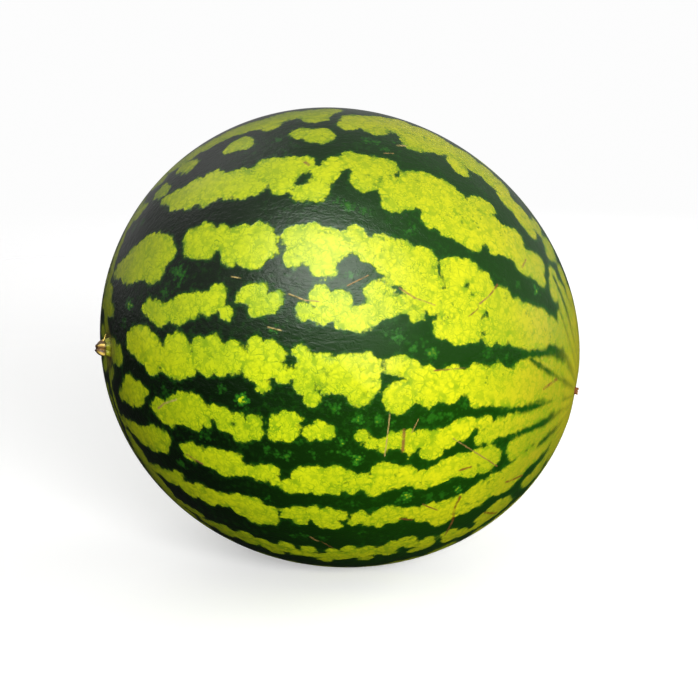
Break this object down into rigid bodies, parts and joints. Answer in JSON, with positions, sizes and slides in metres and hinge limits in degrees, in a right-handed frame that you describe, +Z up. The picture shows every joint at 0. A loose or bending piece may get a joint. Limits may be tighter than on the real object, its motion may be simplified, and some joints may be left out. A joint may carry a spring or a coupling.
{
  "type": "watermelon",
  "caption": "Whole round watermelon with broken lime and dark green stripes, a dried stem stub and a withered flower tip, resting on a small flat spot.",
  "frame": {"origin": "middle of the flat spot that the fruit rests on", "axes": "+X from the stem end towards the flower end, +Z up, -Y is the near side in the picture"},
  "size_m": [0.2876, 0.273, 0.2735],
  "materials": {
    "rind": "waxy satin skin, lime patches on near black green",
    "stem": "dry, ridged and fibrous, dark brown at the cut",
    "blossom": "withered and matt"
  },
  "bodies": {
    "root": {"fruit": "rind", "stem_stub": "stem", "blossom_nub": "blossom"}
  },
  "joints": []
}
